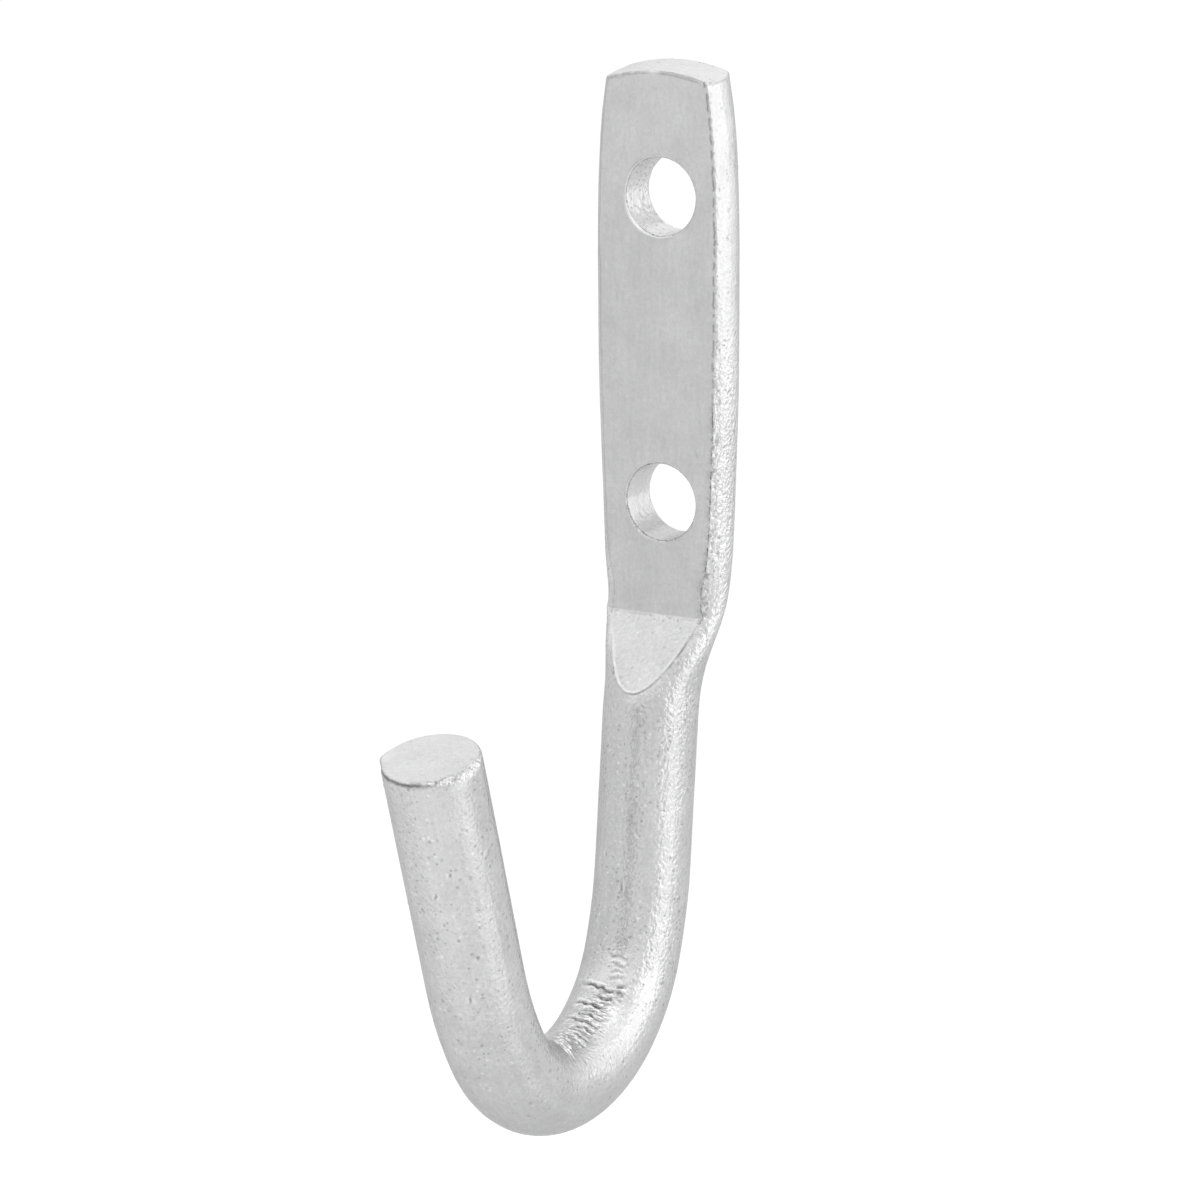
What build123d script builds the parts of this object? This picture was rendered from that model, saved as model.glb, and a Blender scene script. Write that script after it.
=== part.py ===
"""Rope tie hook: one length of round steel bar, flattened and drilled at the top, bent to a J below.

The origin is on the wall face of the palm, at the height midway between the two bolt holes.
+Z is up, the hook opens towards -Y, and X is across the palm. All sizes are in millimetres.
"""

import os
from math import cos, isclose, radians, sin

from build123d import *

# ---- the bar ----
bar_diameter = 9.525
bar_radius = bar_diameter / 2

# ---- the flattened palm ----
palm_thickness = 4.9
palm_crown_z = 28.1  # highest point of the sheared top end, on the wall face
top_crown_radius = 17.5  # the sheared end bows up towards the middle
top_slope = 7.5  # degrees that the sheared end falls towards the front
hole_spacing = 30.3
hole_diameter = 7.65
hole_offset = 0.4  # both holes sit this far to the right of the palm's middle

# ---- the facet that the flattening die leaves where the palm runs out into the bar ----
facet_top_z = -26.6
facet_angle = 39.5  # degrees from vertical
facet_fillet = 0.6

# ---- the hook's centreline ----
shank_lean = 6.4  # degrees that the shank leans forward from vertical
shank_axis_y = -6.25  # where the round bar begins
shank_axis_z = -36.0
shank_length = 15.2  # straight bar above the bend
ease_radius = 35.0  # the bend starts and ends gently
ease_turn = 14.5
bend_radius = 15.0
bend_turn = 127.0
arm_length = 24.35  # straight bar that ends in the tip
tip_shear = 1.8  # degrees that the sheared tip is off square, its outer side the higher

# ---- edges ----
tip_edge_radius = 0.25
rim_break = 0.2  # the holes' rims
edge_break = 0.3  # the outlines of the palm's flat faces

# ---- sections of the flattened bar, from the shank upwards ----
# Squashing the bar spreads it sideways and leaves its sides barrelled, so each section is an oval that
# the die faces then cut flat: its height, half width, depth in front of its widest line, depth behind
# that line, and where the line lies.
palm_middle = -palm_thickness / 2
palm_sections = [
    (-33.0, 4.88, 4.72, 4.72, -5.58),
    (-30.0, 5.54, 3.80, 4.35, -4.78),
    (-26.0, 6.38, 2.95, 3.30, -3.02),
    (-22.0, 6.80, 3.62, 3.90, -2.60),
    (-17.0, 6.97, 4.40, 4.40, palm_middle),
    (-6.0, 7.38, 4.50, 4.50, palm_middle),
    (6.0, 7.45, 4.85, 4.85, palm_middle),
    (18.0, 7.20, 5.10, 5.10, palm_middle),
    (24.0, 6.68, 5.00, 5.00, palm_middle),
    (29.0, 5.75, 5.40, 5.40, palm_middle),
]

# Round sections 1 mm apart carry the loft on along the straight bar, so that the two meet smoothly.
run_on = 6
# Working sizes, larger than the hook, for the tools that cut it.
reach = 40.0
margin = 3.0

os.makedirs("parts", exist_ok=True)

down_shank = Vector(0, -sin(radians(shank_lean)), -cos(radians(shank_lean)))
shank_start = Vector(0, shank_axis_y, shank_axis_z)
bar_start = shank_start + down_shank * run_on

with BuildPart() as rope_hook:
    # The hook's centreline, in the plane of symmetry: shank, gentle run-in, bend, run-out, arm.
    with BuildLine(Plane.YZ) as centreline:
        shank = Line(bar_start, shank_start + down_shank * shank_length)
        run_in = JernArc(shank @ 1, shank % 1, ease_radius, -ease_turn)
        bend = JernArc(run_in @ 1, run_in % 1, bend_radius, -bend_turn)
        run_out = JernArc(bend @ 1, bend % 1, ease_radius, -ease_turn)
        arm = Line(run_out @ 1, run_out @ 1 + (run_out % 1) * (arm_length + margin))

    # The palm grows out of the bar: round sections up the shank, then the flattened ones.
    sections = []
    for step in range(run_on + 1):
        section_plane = Plane(origin=bar_start - down_shank * step, x_dir=(1, 0, 0), z_dir=-down_shank)
        sections.append((section_plane, bar_radius, bar_radius, bar_radius))
    for height, half_width, front_depth, back_depth, widest_y in palm_sections:
        sections.append((Plane((0, widest_y, height)), half_width, front_depth, back_depth))
    for plane, half_width, front_depth, back_depth in sections:
        with BuildSketch(plane):
            with BuildLine():
                EllipticalCenterArc((0, 0), half_width, back_depth, start_angle=0, arc_size=180)
                EllipticalCenterArc((0, 0), half_width, front_depth, start_angle=180, arc_size=180)
            make_face()
    loft()

    # The die's front face, and the facet at its lower end.
    with BuildSketch(Plane.YZ) as front_die:
        with BuildLine():
            foot = (
                -palm_thickness - reach * sin(radians(facet_angle)),
                facet_top_z - reach * cos(radians(facet_angle)),
            )
            Polyline(
                (-palm_thickness, palm_crown_z + margin),
                (-palm_thickness, facet_top_z),
                foot,
                (foot[0], palm_crown_z + margin),
                close=True,
            )
        make_face()
        inner_corner = front_die.vertices().sort_by_distance((0, -palm_thickness, facet_top_z))[0]
        fillet(inner_corner, facet_fillet)
    extrude(amount=reach, both=True, mode=Mode.SUBTRACT)

    # The anvil's face, which leaves the back flat against the wall.
    with BuildSketch(Plane.XZ):
        Rectangle(reach, 3 * reach)
    extrude(amount=-reach, mode=Mode.SUBTRACT)

    # The sheared top end, bowed across its width and falling towards the front.
    end_plane = Plane(
        origin=(0, 0, palm_crown_z),
        x_dir=(1, 0, 0),
        z_dir=(0, -cos(radians(top_slope)), -sin(radians(top_slope))),
    )
    with BuildSketch(end_plane):
        with Locations((0, -margin)):
            Rectangle(top_crown_radius, reach / 4, align=(Align.CENTER, Align.MIN))
        with Locations((0, -top_crown_radius)):
            Circle(top_crown_radius, mode=Mode.SUBTRACT)
    extrude(amount=reach, both=True, mode=Mode.SUBTRACT)

    # The two bolt holes.
    with Locations(Plane(origin=(hole_offset, 0, 0), x_dir=(1, 0, 0), z_dir=(0, -1, 0))):
        with GridLocations(0, hole_spacing, 1, 2):
            Hole(hole_diameter / 2)

    # The round bar, bent to the J.
    with BuildSketch(Plane(origin=bar_start, x_dir=(1, 0, 0), z_dir=down_shank)):
        Circle(bar_radius)
    sweep(path=centreline.wires()[0])

    # The tip, sheared a little off square.
    tip_heading = radians(shank_lean + 2 * ease_turn + bend_turn + tip_shear)
    tip_plane = Plane(
        origin=run_out @ 1 + (run_out % 1) * arm_length,
        x_dir=(1, 0, 0),
        z_dir=(0, -sin(tip_heading), -cos(tip_heading)),
    )
    with BuildSketch(tip_plane):
        Circle(bar_diameter)
    extrude(amount=2 * margin, mode=Mode.SUBTRACT)

    # Broken edges: the tip, the outlines of the palm's flat faces and top end, and the holes' rims.
    tip_face = rope_hook.faces().filter_by(GeomType.PLANE).sort_by(Axis.Y)[0]
    fillet(tip_face.edges(), tip_edge_radius)
    front_face, back_face = rope_hook.faces().filter_by(Plane.XZ).sort_by(Axis.Y)
    end_face = rope_hook.faces().sort_by(Axis.Z)[-1]
    outlines = front_face.outer_wire().edges() + back_face.outer_wire().edges() + end_face.edges()
    fillet(outlines, edge_break)
    circles = rope_hook.edges().filter_by(GeomType.CIRCLE)
    chamfer(circles.filter_by(lambda circle: isclose(2 * circle.radius, hole_diameter)), rim_break)

rope_hook.part.label = "rope_hook"
export_step(rope_hook.part, "parts/rope_hook.step")
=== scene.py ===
"""Rope tie hook: a round steel bar, flattened, drilled and bent, with a dull zinc coat, on a white ground."""

import random
from math import atan2, cos, degrees, exp, hypot, radians, sin

import bmesh
import bpy
from mathutils import Matrix, Vector, kdtree, noise


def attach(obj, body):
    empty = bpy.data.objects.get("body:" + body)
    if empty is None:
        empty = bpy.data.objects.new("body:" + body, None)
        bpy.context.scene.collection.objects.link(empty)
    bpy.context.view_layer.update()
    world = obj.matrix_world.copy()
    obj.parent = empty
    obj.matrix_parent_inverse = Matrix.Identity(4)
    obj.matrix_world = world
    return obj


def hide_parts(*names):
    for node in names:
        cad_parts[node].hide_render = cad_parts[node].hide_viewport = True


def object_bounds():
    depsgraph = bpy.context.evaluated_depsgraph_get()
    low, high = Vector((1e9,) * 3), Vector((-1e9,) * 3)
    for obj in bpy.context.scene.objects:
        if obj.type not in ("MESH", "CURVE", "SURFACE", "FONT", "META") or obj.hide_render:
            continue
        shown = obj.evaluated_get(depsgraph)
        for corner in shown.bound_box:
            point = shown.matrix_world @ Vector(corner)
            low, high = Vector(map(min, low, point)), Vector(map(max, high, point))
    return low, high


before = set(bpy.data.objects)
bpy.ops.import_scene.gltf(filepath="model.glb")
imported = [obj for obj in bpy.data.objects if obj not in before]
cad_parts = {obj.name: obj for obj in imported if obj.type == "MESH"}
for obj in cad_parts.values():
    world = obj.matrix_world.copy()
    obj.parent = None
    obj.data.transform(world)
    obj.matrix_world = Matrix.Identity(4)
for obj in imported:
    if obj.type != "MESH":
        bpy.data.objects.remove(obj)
cad_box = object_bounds()
low, high = cad_box

# ---------------------------------------------------------------------------------------------
# The hook. It is one length of 9.5 mm round steel bar. Its upper end is squashed flat between
# dies, sheared and drilled, and its lower end is bent cold to a J and sheared at the tip.
# The whole surface is worked in millimetres on a fine skin that is laid over the CAD solid.
# ---------------------------------------------------------------------------------------------
MM = 0.001
SAME_POINT = 1e-7  # metres within which the solid's loose triangles share a corner
SKIN = 0.115  # spacing of the skin's points
TRIANGLES = 194_000  # what the finished skin is thinned to

hook_mesh = bpy.data.meshes.new("forged_hook")
solid = bmesh.new()
solid.from_mesh(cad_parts["rope_hook"].data)
bmesh.ops.remove_doubles(solid, verts=solid.verts, dist=SAME_POINT)
bmesh.ops.scale(solid, vec=(1 / MM,) * 3, verts=solid.verts)
solid.to_mesh(hook_mesh)
solid.free()
hook = bpy.data.objects.new("forged_hook", hook_mesh)
bpy.context.scene.collection.objects.link(hook)


def apply_modifier(piece, kind, **settings):
    """Runs one modifier on a piece and keeps its result."""
    modifier = piece.modifiers.new(kind.lower(), kind)
    for name, value in settings.items():
        setattr(modifier, name, value)
    result = bpy.data.meshes.new_from_object(piece.evaluated_get(bpy.context.evaluated_depsgraph_get()))
    piece.modifiers.clear()
    rough_mesh, piece.data = piece.data, result
    bpy.data.meshes.remove(rough_mesh)


# The remesh leaves fine steps on slanted faces, and the smoothing takes them out.
apply_modifier(hook, "REMESH", mode="VOXEL", voxel_size=SKIN, adaptivity=0)
apply_modifier(hook, "SMOOTH", factor=0.5, iterations=3)

# The bar's centreline in the plane X = 0, from the palm to the tip: each run's length and turn.
BAR_RADIUS = 4.7625
SHANK_START = (-6.25, -36.0)
SHANK_LEAN = radians(6.4)
RUNS = (
    (15.2, 0),
    (35.0 * radians(14.5), radians(14.5)),
    (15.0 * radians(127.0), radians(127.0)),
    (35.0 * radians(14.5), radians(14.5)),
    (24.35, 0),
)
TIP_SHEAR = radians(1.8)

# Each run as its first point, its heading there, its radius, its length and the bar before it.
centreline = []
(y, z), heading, gone = SHANK_START, SHANK_LEAN, 0.0
for length, turn in RUNS:
    radius = length / turn if turn else 0
    centreline.append((y, z, heading, radius, length, gone))
    if turn:
        y += radius * (cos(heading + turn) - cos(heading))
        z += radius * (sin(heading) - sin(heading + turn))
    else:
        y -= length * sin(heading)
        z -= length * cos(heading)
    heading += turn
    gone += length
BAR_LENGTH = gone
TIP = Vector((0, y, z))
TIP_NORMAL = Vector((0, -sin(heading + TIP_SHEAR), -cos(heading + TIP_SHEAR)))


def on_bar(point):
    """The nearest centreline point, how far along the bar it lies, and the outward side there."""
    best = None
    for y, z, heading, radius, length, gone in centreline:
        reach_y, reach_z = point.y - y, point.z - z
        if radius:
            middle_y, middle_z = y - radius * cos(heading), z + radius * sin(heading)
            angle = atan2(-(point.z - middle_z), point.y - middle_y)
            along = min(max(radius * (angle - heading), 0), length)
            turned = heading + along / radius
            foot = Vector((0, middle_y + radius * cos(turned), middle_z - radius * sin(turned)))
        else:
            along = -reach_y * sin(heading) - reach_z * cos(heading)
            along = min(along, length) if gone == 0 else max(along, 0)
            turned = heading
            foot = Vector((0, y - along * sin(heading), z - along * cos(heading)))
        distance = hypot(point.y - foot.y, point.z - foot.z)
        if best is None or distance < best[0]:
            best = (distance, foot, gone + along, Vector((0, cos(turned), -sin(turned))))
    return best[1:]


def bell(distance, width):
    """One on a line or point, falling smoothly to nothing at about twice the width."""
    return exp(-(distance / width) ** 2)


def ramp(value, start, end):
    """Nought before start, one after end, and a smooth rise between."""
    share = min(max((value - start) / (end - start), 0), 1)
    return share * share * (3 - 2 * share)


def wave(point, per_mm, seed=0):
    """Smooth noise from -1 to 1, with about that many waves in a millimetre."""
    return noise.noise(Vector((point[0] * per_mm, point[1] * per_mm, point[2] * per_mm + 31 * seed)))


# The flats that the dies leave: the palm's front, and the facet below it.
PALM_FRONT = -4.9
FACET_TOP = Vector((0, PALM_FRONT, -26.6))
FACET_LEAN = radians(39.5)
FACET_NORMAL = Vector((0, -cos(FACET_LEAN), sin(FACET_LEAN)))
FLAT = 0.02  # a point this near a flat's plane is on the flat

# On the left of the neck the die pressed the flats out almost to the hook's side.
NECK_PRESS = 1.25  # how far behind the flats it still moved the metal
for vertex in hook.data.vertices:
    place = vertex.co
    if -34 < place.z < -17 and place.x < -3.6 and place.y < -2:
        on_facet = ramp(-place.z, 25.8, 27.4)
        press = Vector((0, -1, 0)).lerp(FACET_NORMAL, on_facet)
        behind = (FACET_TOP - place).dot(press)
        if 0 < behind < NECK_PRESS:
            left = behind * ramp(behind, 0, NECK_PRESS)
            place += press * (behind - left) * bell(place.z + 27, 4.5) * ramp(-place.x, 3.6, 4.4)


def outline(is_on, is_kept):
    """A tree of the kept points among those that lie on a flat beside points that don't."""
    skin_points = hook.data.vertices
    on = [is_on(vertex.co) for vertex in skin_points]
    border = {index for edge in hook.data.edges for index in edge.vertices
              if on[index] and on[edge.vertices[0]] != on[edge.vertices[1]]}
    tree = kdtree.KDTree(len(border))
    for index in sorted(border):
        if is_kept(skin_points[index].co):
            tree.insert(skin_points[index].co, index)
    tree.balance()
    return tree


palm_edge = outline(
    lambda co: abs(co.y - PALM_FRONT) < FLAT,
    lambda co: abs(co.x) > 4.75 and -25.9 < co.z < 27,
)
facet_edge = outline(
    lambda co: abs((co - FACET_TOP).dot(FACET_NORMAL)) < FLAT,
    lambda co: -36 < co.z < FACET_TOP.z - 0.9,
)


def nearest_edge(tree, point, reach):
    """The outline's nearest place, evened out over a few of its points, or None out of reach."""
    if tree.find(point)[2] > reach:
        return None
    close = tree.find_n(point, 9)
    return sum((place for place, _, _ in close), Vector()) / len(close)


class Spot:
    """One point of the skin: where it is on the bar, where it moves to, and how its coat looks, with its
    painted shade and painted highlight.
    """

    LOOKS = ("painted_shade", "painted_highlight", "pressed", "coarse", "creased", "bored", "ragged")

    def __init__(self, point, normal):
        foot, self.along, self.outward = on_bar(point)
        self.point = point
        self.normal = normal
        self.offset = point - foot
        self.place = point.copy()
        self.unrolled = (point.x, SHANK_START[0] + self.offset.dot(self.outward), SHANK_START[1] - self.along)
        self.looks = dict.fromkeys(self.LOOKS, 0.0)

    def look(self, name, value):
        """Raises one of the looks to this value, up to one."""
        self.looks[name] = max(self.looks[name], min(value, 1))

    def sink(self, depth):
        """Moves the point inwards, or outwards where the depth is below nought."""
        self.place -= self.normal * depth


LONG_WAVES = 0.022
SHORT_WAVES = 0.010


def waves(spot):
    """The dies leave the flats smooth. The bar stays wavy and lumpy. Painted shade darkens the palm's front
    towards the bottom, the shank's inner side and the bend's underside, and a painted highlight lightens the
    lower palm's sides.
    """
    point = spot.point
    if point.z > -34 and point.y > -12:
        spot.look("pressed", ramp(abs(spot.normal.y), 0.85, 0.96))
        spot.look("pressed", 0.75 * ramp(spot.normal.dot(FACET_NORMAL), 0.96, 0.99) * ramp(-point.y, 2.5, 3))
    inner = ramp(-spot.offset.dot(spot.outward), -1, 1)
    if spot.along < 0:
        coarse = 0.22 + 0.78 * ramp(-point.z, -6, 14) - 0.4 * ramp(-point.z, 25, 30)
        lower_palm = ramp(-point.z, -8, 12) * ramp(point.z, -32, -27)
        # Painted highlight on the lower palm's sides.
        spot.look("painted_highlight", 0.3 * lower_palm * ramp(abs(spot.normal.x), 0.4, 0.8))
        # Painted shade, darker towards the bottom of the palm's front.
        if spot.normal.y < -0.9 and point.z > FACET_TOP.z:
            spot.look("painted_shade", 0.08 * ramp(-point.z, -20, 3))
    else:
        coarse = 0.6 - 0.1 * ramp(spot.along, 0, 5) - 0.15 * ramp(spot.along, 24, 31)
        # Painted shade on the shank's inner side, facing the arm, and on the outer side at the bottom of the
        # bend.
        inner_shade = inner * ramp(-point.x, -0.8, 1.2) * ramp(spot.along, 0, 5) * ramp(-spot.along, -32, -24)
        under_shade = (1 - inner) * bell(spot.along - 48, 9)
        spot.look("painted_shade", 0.16 * inner_shade + 0.14 * under_shade)
    spot.look("coarse", coarse * (1 - 0.93 * spot.looks["pressed"]))
    x, y, z = spot.unrolled
    height = LONG_WAVES * wave((x * 0.45, y * 0.45, z * 0.16), 1)
    height += SHORT_WAVES * wave((x, y, z * 0.7), 1.3, 1)
    spot.sink(-height * (1 - 0.75 * spot.looks["pressed"]))


# Creases that the bend squeezed up on its inner side: distance along the bar, first and last X,
# slant, and depth. A depth below nought is a ridge.
CREASES = (
    (25.8, 0.2, 1.9, 0.0, 0.035),
    (27.0, 0.8, 1.9, 0.0, 0.040),
    (27.8, 0.8, 1.8, -0.2, 0.035),
    (28.8, 0.8, 2.0, -0.3, 0.035),
    (30.1, -2.1, 2.2, 1.1, 0.085),
    (30.6, 1.5, 2.7, -0.5, -0.080),
    (30.9, 1.5, 2.6, 0.5, -0.070),
    (32.1, 0.3, 1.8, 0.1, 0.080),
    (33.4, -1.9, 1.2, 0.7, 0.110),
    (34.9, -0.8, 0.7, 0.2, 0.060),
    (35.7, -0.9, 1.8, 0.4, 0.115),
    (36.8, -1.7, 1.8, 0.7, 0.120),
    (38.6, 0.1, 2.0, 0.3, 0.100),
    (39.5, -0.7, 0.7, 0.4, 0.060),
    (40.6, 0.3, 2.3, 0.6, 0.100),
    (41.4, -0.6, 0.9, 0.5, 0.055),
    (42.3, 1.2, 2.6, 0.4, 0.080),
    (43.4, -0.2, 1.6, 0.6, 0.060),
    (45.4, 0.6, 2.4, 0.3, -0.120),
    (46.8, 0.2, 3.2, 0.6, 0.080),
)
CREASED_FROM, CREASED_TO = 23, 51
CREASE_REACH = 2.5
CREASE_GAIN = 1.5  # scales the listed depths, in full on the bend's innermost side
WRINKLES = 0.03


def bend_creases(spot):
    """The creases inside the bend, with fine wrinkles between them. Their hollows are painted dark as shade,
    and their ridges and a patch beside them are painted light as highlights.
    """
    if not (CREASED_FROM < spot.along < CREASED_TO and spot.offset.dot(spot.outward) < 0):
        return
    across, along = spot.point.x, spot.along
    wander = 0.32 * wave((across, along * 0.4, 4), 1.5) + 0.14 * wave((across, along * 0.4, 9), 4)
    depth = 0
    for middle, start, end, slant, deep in CREASES:
        if abs(along - middle) > CREASE_REACH:
            continue
        share = (across - start) / (end - start)
        off_line = (along - middle - slant * share + wander) * 0.75
        inside = ramp(share, -0.15, 0.4) * ramp(-share, -1.12, -0.85)
        broken = 1 + 1.1 * wave((across, middle, 2), 2.1)
        depth += inside * broken * deep * (bell(off_line, 0.15) - 0.7 * bell(abs(off_line) - 0.38, 0.17))
    zone = bell(across - 0.7, 1.7) * ramp(along, 29, 31.5) * ramp(-along, -48, -45)
    depth += WRINKLES * zone * wave((across * 0.3, along, 5), 2.2)
    depth *= CREASE_GAIN * ramp(-spot.offset.dot(spot.outward), 1.5, 3.5)
    spot.sink(depth)
    spot.look("creased", zone)
    spot.look("ragged", 0.6 * zone)
    # Painted shade in the hollows and painted highlight on the ridges, by the crease depth.
    spot.look("painted_shade", depth / 0.12)
    spot.look("painted_highlight", -depth / 0.055)
    # Painted highlight on a patch beside the creases.
    beside = ramp(across, 1.3, 2.2) * ramp(-across, -4.2, -3.2)
    spot.look("painted_highlight", 0.25 * beside * ramp(along, 31, 34) * ramp(-along, -47, -43))


# Nicks in the bar: distance along it, X, length, width and depth, and their slant from its line.
# The first six lie on the bar's inner side, four of them among the creases, the rest on its outer.
NICKS = (
    (17.5, 0.4, 1.1, 0.10, 0.07, 4),
    (24.4, -1.2, 0.3, 0.13, 0.06, 0),
    (32.5, 1.4, 0.3, 0.12, 0.06, 80),
    (33.1, 0.0, 0.3, 0.12, 0.06, 85),
    (35.9, 1.6, 0.5, 0.12, 0.06, 75),
    (37.6, 1.8, 0.3, 0.12, 0.06, 80),
    (66.8, 2.1, 0.6, 0.11, 0.05, 15),
    (71.2, 3.3, 0.3, 0.13, 0.05, -30),
    (78.3, 0.8, 0.5, 0.11, 0.06, 20),
    (80.6, 2.5, 0.3, 0.12, 0.05, 0),
)


NICKED_OUTSIDE = 50  # nicks further along the bar than this lie on its outer side
NICK_REACH = 1.5


def nicks(spot):
    """A few larger nicks from handling, painted dark as shade inside, each with a painted highlight beside
    it.
    """
    outside = spot.offset.dot(spot.outward) > 0
    for along, across, length, width, depth, slant in NICKS:
        down, aside = spot.along - along, spot.point.x - across
        if abs(down) > NICK_REACH or abs(aside) > NICK_REACH or outside != (along > NICKED_OUTSIDE):
            continue
        lengthwise = down * cos(radians(slant)) + aside * sin(radians(slant))
        sideways = aside * cos(radians(slant)) - down * sin(radians(slant))
        sideways += 0.08 * wave((lengthwise, along, 0), 2.5)
        within = bell(lengthwise, 0.6 * length)
        spot.sink(depth * within * bell(sideways, width))
        # Painted shade in the nick and a painted highlight beside it.
        spot.look("painted_shade", 0.8 * within * bell(sideways, width))
        spot.look("painted_highlight", 0.7 * within * bell(abs(sideways) - 1.9 * width, 0.8 * width))


EDGE_CRACK = 0.08
EDGE_CHIPS = 0.20
EDGE_PITS = 0.07


def ragged_edge(spot):
    """The palm's front edges: a painted shade line on the left, and a thin broken crack on the right, painted
    dark as shade, pitted below with painted shade in the pits.
    """
    point = spot.point
    if point.z < -27 or abs(point.x) < 3.6 or point.y > -3:
        return
    near = nearest_edge(palm_edge, point, 1.1)
    if near is None:
        return
    away = hypot(point.x - near.x, point.y - near.y)
    if abs(point.x) < abs(near.x) and point.y < PALM_FRONT + 0.05:
        away = -away
    height = (0, 0, near.z)
    jag = wave(height, 2.1, 3) + 0.7 * wave(height, 5.2, 4)
    if near.x < 0:
        # Painted shade line along the left edge.
        spot.look("painted_shade", 0.45 * bell(away - 0.03 - 0.05 * jag, 0.08))
        return
    lower_palm = ramp(-near.z, -8, 12)
    gap = ramp(wave(height, 1.3, 5) + 0.35 * jag + 0.2, -0.1, 0.25)
    crack = bell(away - 0.04 - 0.10 * jag, 0.09 + 0.04 * lower_palm) * gap
    spot.sink(EDGE_CRACK * crack)
    # Painted shade in the crack.
    spot.look("painted_shade", crack * (0.9 - 0.5 * lower_palm))
    spot.look("ragged", (0.25 + 0.75 * lower_palm) * bell(away - 0.25, 0.4))
    chips = lower_palm * max(0, wave(point, 1.5, 6)) * bell(away - 0.2, 0.45)
    spot.sink(EDGE_CHIPS * chips)
    pits = lower_palm * bell(away - 0.3, 0.5) * ramp(wave(point, 2.4, 7), 0.05, 0.35)
    spot.sink(EDGE_PITS * pits)
    # Painted shade in the pits.
    spot.look("painted_shade", 0.6 * pits)


def sheared_top(spot):
    """The sheared top end: a painted highlight across its upward face, with its front edge ragged and a
    painted shade line along it.
    """
    point = spot.point
    if point.z < 25 or spot.normal.z < 0.05:
        return
    spot.look("painted_highlight", 0.35 * ramp(spot.normal.z, 0.6, 0.9))
    if abs(point.y - PALM_FRONT) > 0.5:
        return
    edge = bell(point.y - PALM_FRONT - 0.05, 0.12) * ramp(wave(point, 1.1, 18) + 0.4, 0, 0.4)
    spot.look("painted_shade", 0.45 * edge)
    spot.look("ragged", 0.5 * bell(point.y - PALM_FRONT, 0.4))


CORNER_REACH = 0.45  # how far the rounding of the corner over the facet reaches
CORNER_FALL = 0.03
CORNER_WAVES = 0.05
FACET_LIP = 0.05
FACET_GROOVE = 0.05


def facet_rim(spot):
    """The wavy corner over the facet, and its lower rim: a raised lip with a painted highlight, and a groove
    outside it painted dark as shade.
    """
    point = spot.point
    if not -36 < point.z < FACET_TOP.z + 1.5 or point.y > -3:
        return
    spot.sink(CORNER_WAVES * bell(point.z - FACET_TOP.z, 0.9) * wave((point.x, 0, 0), 0.45, 8))
    from_corner = abs(point.z - FACET_TOP.z) / CORNER_REACH
    if from_corner < 1 and abs(point.y - PALM_FRONT) < CORNER_REACH:
        spot.place += (FACET_NORMAL + Vector((0, -1, 0))) * CORNER_FALL * (1 - from_corner) ** 2
    near = nearest_edge(facet_edge, point, 0.8)
    if near is None:
        return
    away = (point - near).length
    if (point - FACET_TOP).dot(FACET_NORMAL) > -FLAT:
        lip = bell(away - 0.08, 0.17) * (0.75 + 0.6 * wave(point, 1.3, 17))
        lip *= (1 - 0.5 * ramp(near.x, -1, 2)) * ramp(FACET_TOP.z - near.z, 0.6, 3)
        spot.place += FACET_NORMAL * FACET_LIP * lip
        spot.look("painted_highlight", 0.75 * lip)
    else:
        groove = bell(away - 0.16, 0.12) * ramp(near.x, -2.4, 1.2) * (0.8 + 0.8 * wave(point, 1.1, 9))
        spot.sink(FACET_GROOVE * groove)
        spot.look("painted_shade", 0.7 * groove)


# The drilled holes. Their walls are scored and scraped, and the drill broke their front rims.
HOLE_RADIUS = 3.825
HOLE_X = 0.4
HOLE_Z = 15.15
WALL_SCORES = 0.03
RIM_SCRAPES = 0.05


def hole_walls(spot):
    """The upper hole's wall is rough and specked, with a painted highlight. The lower one's is smoother, with
    a painted highlight towards its top and painted shade at its foot. Each front rim has a shallow scrape
    with a painted highlight crescent, and a painted shade line round the rest.
    """
    point = spot.point
    upper = point.z > 0
    across, rise = point.x - HOLE_X, point.z - (HOLE_Z if upper else -HOLE_Z)
    from_axis = hypot(across, rise)
    if abs(from_axis - HOLE_RADIUS) > 0.7:
        return
    wall = bell(from_axis - HOLE_RADIUS, 0.12)
    torn = wave(point, 1.5, 10) + 0.5 * wave(point, 3.2, 11)
    if not upper:
        torn *= 0.4
    spot.sink(-WALL_SCORES * wall * torn)
    spot.look("bored", wall)
    spot.looks["coarse"] *= 1 - (0.7 if upper else 0.9) * wall
    # Painted highlight on the walls.
    spot.look("painted_highlight", 0.5 * wall * (1 if upper else ramp(rise, -3.6, 0.5)))
    spot.look("ragged", wall * (0.9 if upper else 0.25))
    # Painted shade at the lower wall's foot.
    if not upper:
        spot.look("painted_shade", 0.16 * wall * ramp(-rise, 1.0, 3.4))
    if point.y < PALM_FRONT + 0.6:
        angle = degrees(atan2(rise, across))
        rim = bell(from_axis - HOLE_RADIUS - 0.14, 0.13)
        scrape_and_highlight = bell(angle + 140, 38) if upper else 0.6 * bell(angle + 125, 26)
        # Painted highlight on the rim's scraped crescent.
        spot.look("painted_highlight", 1.2 * rim * scrape_and_highlight)
        spot.sink(RIM_SCRAPES * rim * scrape_and_highlight)
        # Painted shade line round the rest of the rim.
        rim_shade = bell(from_axis - HOLE_RADIUS - 0.28, 0.08) * max(0, 0.5 + wave(point, 0.9, 13))
        spot.look("painted_shade", 0.35 * rim_shade * (1 - scrape_and_highlight))


# Where the tip's marks are, in degrees round the bar: nought is the right, 90 the outer side.
TIP_ROLL_AT = 5
TIP_CHIPS_AT = 50
TIP_LIP_AT = 170
TIP_ROLL = 0.26
TIP_CHIPS = 0.22
TIP_LIP = 0.45
TIP_CRACK = 0.15


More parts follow.
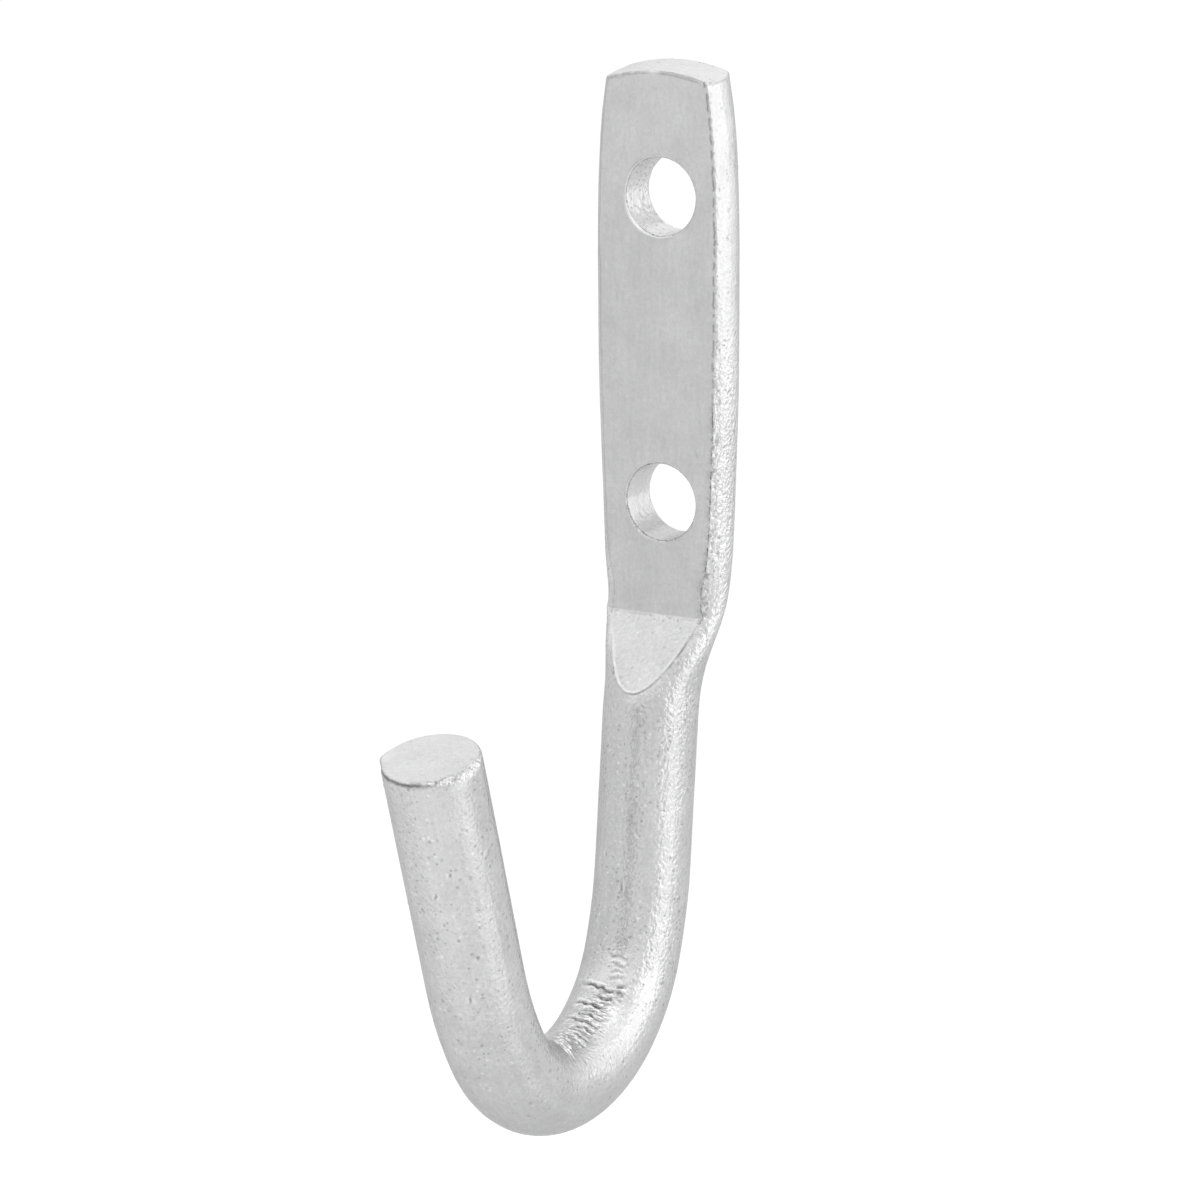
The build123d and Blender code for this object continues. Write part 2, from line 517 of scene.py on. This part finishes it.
def tip_end(spot):
    """The sheared tip: a lip at its left, a crack under its front rim, chips, and a rolled right side. The
    chips are painted light and dark as highlights and shade, the crack is painted dark as shade, and the lip
    carries a painted highlight.
    """
    point = spot.point
    below = (TIP - point).dot(TIP_NORMAL)
    if below > 2.2 or spot.along < BAR_LENGTH - 3.5:
        return
    out = spot.offset.dot(spot.outward)
    from_axis = hypot(point.x, out)
    angle = degrees(atan2(out, point.x))
    to_rim = hypot(from_axis - BAR_RADIUS, below)
    radial = (Vector((point.x, 0, 0)) + spot.outward * out).normalized()
    roll = bell(angle - TIP_ROLL_AT, 42)
    jag = wave(point, 1.8, 14) + 0.7 * wave(point, 4.2, 15)
    rolled_in = TIP_ROLL * roll * (1 + 0.7 * jag) * bell(to_rim, 0.6)
    spot.place -= (radial + TIP_NORMAL).normalized() * rolled_in
    lip = bell((angle - TIP_LIP_AT + 180) % 360 - 180, 14)
    spot.place += radial * TIP_LIP * lip * bell(to_rim, 0.3)
    chipped = bell(angle - TIP_CHIPS_AT, 32)
    spot.sink(TIP_CHIPS * chipped * bell(to_rim, 0.4) * max(0, jag + 0.15))
    # Painted highlights and painted shade on the chips and the rolled side.
    spot.look("painted_highlight", 1.2 * (chipped + 0.2 * roll) * bell(to_rim - 0.2, 0.35) * ramp(jag, 0.2, 0.45))
    spot.look("painted_shade", 0.9 * chipped * bell(to_rim, 0.5) * ramp(-jag, 0.15, 0.4))
    spot.look("ragged", (chipped + 0.6 * roll) * bell(to_rim, 0.9))
    if from_axis > BAR_RADIUS - 0.16:
        front = ramp(angle, 60, 80) * ramp(-angle, -186, -174)
        crack = front * bell(below - 0.25 - 0.10 * jag, 0.16)
        spot.sink(TIP_CRACK * crack * (1 + 0.6 * jag))
        # Painted shade in the crack.
        spot.look("painted_shade", crack * (1.6 + 0.5 * jag))
    else:
        spot.look("pressed", ramp(BAR_RADIUS - from_axis, 0.1, 0.6) * (1 - 0.8 * roll))
        spot.looks["coarse"] *= 1 - 0.85 * spot.looks["pressed"]
        # Painted highlight on the lip.
        spot.look("painted_highlight", 0.35 * lip * bell(to_rim, 0.8))


FEATURES = (waves, bend_creases, nicks, ragged_edge, sheared_top, facet_rim, hole_walls, tip_end)
skin = [Spot(vertex.co.copy(), vertex.normal.copy()) for vertex in hook.data.vertices]
for spot in skin:
    for feature in FEATURES:
        feature(spot)

# The larger pits and zinc pimples, in clusters on the bar and sparse on the pressed flats. The pits are
# painted dark as shade and the pimples light as highlights.
PITS = 900  # how many places are tried
random.seed(7)
skin_tree = kdtree.KDTree(len(skin))
for index, spot in enumerate(skin):
    skin_tree.insert(spot.point, index)
skin_tree.balance()
for _ in range(PITS):
    middle = skin[random.randrange(len(skin))]
    radius = random.uniform(0.2, 0.4)
    depth = random.uniform(0.02, 0.06) * random.choice((1, 1, -1))
    dark = random.uniform(0.1, 0.5)
    crowd = 0.3 + 1.2 * wave(middle.point, 0.3, 16)
    if random.random() > crowd * (1 - 0.9 * middle.looks["pressed"]):
        continue
    for _, index, away in skin_tree.find_range(middle.point, radius):
        share = (1 - (away / radius) ** 2) ** 2
        skin[index].sink(depth * share)
        # Painted shade in pits, painted highlight on pimples.
        skin[index].look("painted_shade" if depth > 0 else "painted_highlight", dark * share)

# The worked skin goes back onto the mesh, kept within the solid's box, and each look as an attribute.
for vertex, spot in zip(hook.data.vertices, skin):
    inside = (min(max(spot.place[axis], low[axis] / MM), high[axis] / MM) for axis in range(3))
    vertex.co = Vector(inside)
for name in Spot.LOOKS:
    values = hook.data.attributes.new(name, "FLOAT", "POINT").data
    values.foreach_set("value", [spot.looks[name] for spot in skin])
unrolled = hook.data.attributes.new("unrolled", "FLOAT_VECTOR", "POINT").data
unrolled.foreach_set("vector", [value for spot in skin for value in spot.unrolled])

apply_modifier(hook, "DECIMATE", ratio=TRIANGLES / (2 * len(hook.data.polygons)))
hook.data.transform(Matrix.Scale(MM, 4))
hook.data.shade_smooth()
hook.data.update()

# The zinc coat: dull light grey, partly weathered to a matt grey bloom, mottled and lumpy.
ZINC = (0.600, 0.600, 0.604, 1)
# Colour of the painted shade in creases, cracks, grooves, pits and under the bend.
PAINTED_SHADE_COLOUR = (0.12, 0.12, 0.125, 1)
# Colour of the painted highlights on ridges, lips, rims, chips, walls and the top end.
PAINTED_HIGHLIGHT_COLOUR = (0.88, 0.88, 0.88, 1)
UM = 0.000001

zinc = bpy.data.materials.new("dull_zinc")
zinc.use_nodes = True
coat_tree = zinc.node_tree
shader = coat_tree.nodes["Principled BSDF"]
shader.inputs["Metallic"].default_value = 0.8
shader.inputs["Specular IOR Level"].default_value = 0.3
shader.inputs["Specular Tint"].default_value = (0.7, 0.7, 0.705, 1)


def attribute(name, output="Fac"):
    """One of the skin's own attributes."""
    node = coat_tree.nodes.new("ShaderNodeAttribute")
    node.attribute_name = name
    return node.outputs[output]


def grain(scale, stretch=(1, 1, 1), detail=3.0, roughness=0.5, shift=0.0):
    """Noise on the unrolled bar, in millimetres, drawn out by the stretch."""
    mapping = coat_tree.nodes.new("ShaderNodeMapping")
    mapping.inputs["Location"].default_value = (shift, shift, shift)
    mapping.inputs["Scale"].default_value = [1 / s for s in stretch]
    coat_tree.links.new(attribute("unrolled", "Vector"), mapping.inputs["Vector"])
    texture = coat_tree.nodes.new("ShaderNodeTexNoise")
    texture.inputs["Scale"].default_value = scale
    texture.inputs["Detail"].default_value = detail
    texture.inputs["Roughness"].default_value = roughness
    coat_tree.links.new(mapping.outputs["Vector"], texture.inputs["Vector"])
    return texture.outputs["Fac"]


def spread(value, low_in, high_in, low_out, high_out):
    """Maps one range of values onto another, and holds the ends."""
    node = coat_tree.nodes.new("ShaderNodeMapRange")
    node.inputs["From Min"].default_value = low_in
    node.inputs["From Max"].default_value = high_in
    node.inputs["To Min"].default_value = low_out
    node.inputs["To Max"].default_value = high_out
    coat_tree.links.new(value, node.inputs["Value"])
    return node.outputs["Result"]


def combine(operation, first, *others):
    """Adds, multiplies or otherwise combines two or more values."""
    for other in others:
        node = coat_tree.nodes.new("ShaderNodeMath")
        node.operation = operation
        for socket, value in zip(node.inputs, (first, other)):
            if isinstance(value, (int, float)):
                socket.default_value = value
            else:
                coat_tree.links.new(value, socket)
        first = node.outputs[0]
    return first


def blend(share, first, second):
    """The first colour, with that share of the second laid over it."""
    node = coat_tree.nodes.new("ShaderNodeMix")
    node.data_type = "RGBA"
    coat_tree.links.new(share, node.inputs["Factor"])
    for socket, value in ((node.inputs["A"], first), (node.inputs["B"], second)):
        if isinstance(value, tuple):
            socket.default_value = value
        else:
            coat_tree.links.new(value, socket)
    return node.outputs["Result"]


def dots(per_mm, width, share, shift):
    """Round specks about that wide in millimetres, in that share of the cells of a scatter."""
    mapping = coat_tree.nodes.new("ShaderNodeMapping")
    mapping.inputs["Location"].default_value = (shift, shift, shift)
    coat_tree.links.new(attribute("unrolled", "Vector"), mapping.inputs["Vector"])
    scatter = coat_tree.nodes.new("ShaderNodeTexVoronoi")
    scatter.inputs["Scale"].default_value = per_mm
    coat_tree.links.new(mapping.outputs["Vector"], scatter.inputs["Vector"])
    chance = coat_tree.nodes.new("ShaderNodeSeparateColor")
    coat_tree.links.new(scatter.outputs["Color"], chance.inputs["Color"])
    chosen = combine("LESS_THAN", chance.outputs["Red"], share)
    size = 0.5 * width * per_mm
    return combine("MULTIPLY", spread(scatter.outputs["Distance"], 0.3 * size, size, 1, 0), chosen)


cloud = grain(0.3, detail=3.0)
broad = grain(0.09, (1, 1, 2), detail=2.0, shift=70)
patchy = grain(0.45, (1, 1, 2), detail=2.0, shift=40)
lumps = grain(2.9, (1, 1, 1.2), detail=1.0, roughness=0.4)
fine = grain(5.5, detail=1.0, shift=9)
lines = grain(2.2, (1, 1, 14), detail=3.0, roughness=0.65)
wrinkles = grain(3.4, (3, 3, 1), detail=2.0, roughness=0.5, shift=5)
coarse = attribute("coarse")
creased = attribute("creased")
clusters = combine("MULTIPLY", spread(patchy, 0.38, 0.58, 0.25, 1), spread(coarse, 0, 0.4, 0.1, 1))
# The pits and wrinkle folds are painted dark as shade, the glints and wrinkle crests painted light as
# highlights.
pits = combine("MAXIMUM", dots(1.1, 0.5, 0.5, 21), dots(1.8, 0.34, 0.5, 47))
pits = combine("MULTIPLY", pits, clusters)
glints = combine("MULTIPLY", dots(1.4, 0.45, 0.5, 63), clusters)
ragged = attribute("ragged")
pits = combine("MAXIMUM", pits, combine("MULTIPLY", dots(2.0, 0.32, 0.75, 77), ragged))
glints = combine("MAXIMUM", glints, combine("MULTIPLY", dots(1.9, 0.36, 0.7, 95), ragged))
folds = combine("MULTIPLY", spread(wrinkles, 0.48, 0.38, 0, 1), creased)
crests = combine("MULTIPLY", spread(wrinkles, 0.53, 0.63, 0, 1), creased)

# Its shade: clouds, rolled lines, and speckles where the skin is coarse, with painted highlights and painted
# shade laid over them.
rolled = spread(attribute("bored"), 0, 1, 1, 0)
tone = combine("ADD", spread(cloud, 0.3, 0.7, -0.05, 0.05), spread(broad, 0.3, 0.7, -0.02, 0.02))
tone = combine("ADD", tone, combine("MULTIPLY", spread(lines, 0.3, 0.7, -0.04, 0.04), rolled))
speckle = combine("ADD", spread(lumps, 0.3, 0.7, -0.08, 0.08), spread(fine, 0.3, 0.7, -0.05, 0.05))
scored = combine("MULTIPLY", spread(lumps, 0.35, 0.65, -0.18, 0.14), attribute("bored"), ragged)
tone = combine("ADD", tone, combine("MULTIPLY", speckle, spread(coarse, 0, 1, 0.45, 1.0)), scored, 1.0)
shade = coat_tree.nodes.new("ShaderNodeHueSaturation")
shade.inputs["Color"].default_value = ZINC
coat_tree.links.new(tone, shade.inputs["Value"])
# The skin's painted highlights, glints and crests blend towards the highlight colour; its painted shade, pits
# and folds towards the shade colour.
bright = combine("MAXIMUM", attribute("painted_highlight"), combine("MULTIPLY", combine("MAXIMUM", glints, crests), 0.8))
dark = combine("MAXIMUM", attribute("painted_shade"), combine("MULTIPLY", combine("MAXIMUM", pits, folds), 0.6))
coat = blend(combine("MULTIPLY", bright, 0.8), shade.outputs["Color"], PAINTED_HIGHLIGHT_COLOUR)
coat = blend(combine("MULTIPLY", dark, 0.8), coat, PAINTED_SHADE_COLOUR)
coat_tree.links.new(coat, shader.inputs["Base Color"])
matt = combine("ADD", spread(lumps, 0.3, 0.7, 0.21, 0.28), spread(cloud, 0.3, 0.7, -0.03, 0.03))
coat_tree.links.new(matt, shader.inputs["Roughness"])

# Its relief, in metres of height.
relief = combine("MULTIPLY", lumps, spread(coarse, 0, 1, 12 * UM, 170 * UM))
relief = combine("ADD", relief, combine("MULTIPLY", fine, spread(coarse, 0, 1, 4 * UM, 25 * UM)))
relief = combine("ADD", relief, combine("MULTIPLY", lines, rolled, 8 * UM))
relief = combine("SUBTRACT", relief, combine("MULTIPLY", pits, 25 * UM), combine("MULTIPLY", folds, 45 * UM))
bump = coat_tree.nodes.new("ShaderNodeBump")
bump.inputs["Strength"].default_value = 1.0
bump.inputs["Distance"].default_value = 1.0
coat_tree.links.new(relief, bump.inputs["Height"])
coat_tree.links.new(bump.outputs["Normal"], shader.inputs["Normal"])

hook.data.materials.append(zinc)
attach(hook, "root")
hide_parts("rope_hook")

# ---------------------------------------------------------------------------------------------
# The ground and the room. A white sheet lies well below the hook, in a plain white room. The
# camera and the metal's reflections see pure white, and the ground keeps the hook's shadow.
# ---------------------------------------------------------------------------------------------
GROUND_DROP = 0.14
GROUND_SIZE = 8.0
ROOM_LIGHT = 0.7

bpy.ops.mesh.primitive_plane_add(size=GROUND_SIZE, location=(0, 0, low.z - GROUND_DROP))
ground = bpy.context.object
ground.name = "ground"


def seen_rays(node_tree):
    """One for camera, glossy and transmission rays, and nought for the rest."""
    path = node_tree.nodes.new("ShaderNodeLightPath")
    result = path.outputs["Is Camera Ray"]
    for name in ("Is Glossy Ray", "Is Transmission Ray"):
        either = node_tree.nodes.new("ShaderNodeMath")
        either.operation = "MAXIMUM"
        node_tree.links.new(result, either.inputs[0])
        node_tree.links.new(path.outputs[name], either.inputs[1])
        result = either.outputs[0]
    return result


# The camera sees the sheet's own shading under a glow that brings it up to white. The metal
# reflects plain white, whatever light the lamps throw on the sheet.
GROUND_GLOW = 0.45
paper = bpy.data.materials.new("white_sheet")
paper.use_nodes = True
sheet = paper.node_tree.nodes["Principled BSDF"]
sheet.inputs["Base Color"].default_value = (0.8, 0.8, 0.8, 1)
sheet.inputs["Roughness"].default_value = 0.9
sheet.inputs["Specular IOR Level"].default_value = 0.0
sheet.inputs["Emission Color"].default_value = (1, 1, 1, 1)
glow = paper.node_tree.nodes.new("ShaderNodeMath")
glow.operation = "MULTIPLY"
glow.inputs[1].default_value = GROUND_GLOW
paper.node_tree.links.new(seen_rays(paper.node_tree), glow.inputs[0])
paper.node_tree.links.new(glow.outputs[0], sheet.inputs["Emission Strength"])
mirrored = paper.node_tree.nodes.new("ShaderNodeEmission")
mirrored.inputs["Color"].default_value = (1, 1, 1, 1)
mirrored.inputs["Strength"].default_value = 1.0
either_sheet = paper.node_tree.nodes.new("ShaderNodeMixShader")
for socket, result in (
    (either_sheet.inputs[0], paper.node_tree.nodes.new("ShaderNodeLightPath").outputs["Is Glossy Ray"]),
    (either_sheet.inputs[1], sheet.outputs["BSDF"]),
    (either_sheet.inputs[2], mirrored.outputs["Emission"]),
    (paper.node_tree.nodes["Material Output"].inputs["Surface"], either_sheet.outputs["Shader"]),
):
    paper.node_tree.links.new(result, socket)
ground.data.materials.append(paper)

room = bpy.data.worlds.new("white_room")
bpy.context.scene.world = room
room.use_nodes = True
walls = room.node_tree.nodes["Background"]
walls.inputs["Color"].default_value = (1, 1, 1, 1)
wall_light = room.node_tree.nodes.new("ShaderNodeMapRange")
wall_light.inputs["To Min"].default_value = ROOM_LIGHT
wall_light.inputs["To Max"].default_value = 1.0
room.node_tree.links.new(seen_rays(room.node_tree), wall_light.inputs["Value"])
room.node_tree.links.new(wall_light.outputs["Result"], walls.inputs["Strength"])

# ---------------------------------------------------------------------------------------------
# The camera. It stands half a metre off, to the right of the hook and a little above it, with
# a long lens.
# ---------------------------------------------------------------------------------------------
AZIMUTH = radians(29.754)
ELEVATION = radians(13.45)
ROLL = radians(-0.283)
STAND_OFF = (-0.007951, -0.025397, 0.515248)
SENSOR_WIDTH = 36
FOCAL_LENGTH = 156.93

across = Vector((cos(AZIMUTH), sin(AZIMUTH), 0))
toward = Vector((sin(AZIMUTH) * cos(ELEVATION), -cos(AZIMUTH) * cos(ELEVATION), sin(ELEVATION)))
upward = toward.cross(across)
right = across * cos(ROLL) + upward * sin(ROLL)
up = upward * cos(ROLL) - across * sin(ROLL)
lens = bpy.data.cameras.new("camera")
lens.sensor_width = SENSOR_WIDTH
lens.lens = FOCAL_LENGTH
lens.clip_start = 0.01
camera = bpy.data.objects.new("camera", lens)
bpy.context.scene.collection.objects.link(camera)
stand = Matrix((right, up, toward)).transposed().to_4x4()
stand.translation = right * STAND_OFF[0] + up * STAND_OFF[1] + toward * STAND_OFF[2]
camera.matrix_world = stand
bpy.context.scene.camera = camera

# ---------------------------------------------------------------------------------------------
# The lamps. Large soft lamps stand close to the hook on the camera's right, level and above, and
# dimmer ones to the left, behind and below.
# ---------------------------------------------------------------------------------------------
LAMPS = (
    # name, degrees right of the camera, degrees up, distance, width, height, brightness
    ("right_softbox", 73, 9, 0.30, 0.31, 0.19, 0.66),
    ("far_right_softbox", 114, 9, 0.30, 0.14, 0.19, 0.34),
    ("lower_right_card", 63, -16, 0.30, 0.18, 0.12, 0.30),
    ("lowest_right_card", 60, -34, 0.22, 0.16, 0.09, 0.24),
    ("front_low_card", -20, -45, 0.22, 0.38, 0.10, 0.17),
    ("lower_left_card", -90, -25, 0.30, 0.20, 0.10, 0.15),
    ("upper_right_softbox", 85, 40, 0.35, 0.48, 0.25, 0.18),
    ("top_right_softbox", 80, 68, 0.35, 0.25, 0.20, 0.58),
    ("front_top_softbox", -20, 46, 0.40, 0.55, 0.30, 0.21),
    ("left_top_softbox", -90, 45, 0.40, 0.40, 0.30, 0.19),
    ("back_softbox", 180, 36, 0.40, 0.32, 0.36, 0.31),
)
GLOW_WATTS = 4  # watts a square metre that make a lamp as bright as a surface glowing at 1
centre = (low + high) / 2
for name, round_degrees, up_degrees, distance, width, height, brightness in LAMPS:
    lamp = bpy.data.lights.new(name, "AREA")
    lamp.shape = "RECTANGLE"
    lamp.size = width
    lamp.size_y = height
    lamp.energy = GLOW_WATTS * width * height * brightness
    bearing = AZIMUTH + radians(round_degrees)
    level = cos(radians(up_degrees))
    direction = Vector((sin(bearing) * level, -cos(bearing) * level, sin(radians(up_degrees))))
    holder = bpy.data.objects.new(name, lamp)
    holder.location = centre + direction * distance
    holder.rotation_euler = direction.to_track_quat("Z", "Y").to_euler()
    bpy.context.scene.collection.objects.link(holder)

bpy.context.scene.view_settings.view_transform = "Standard"
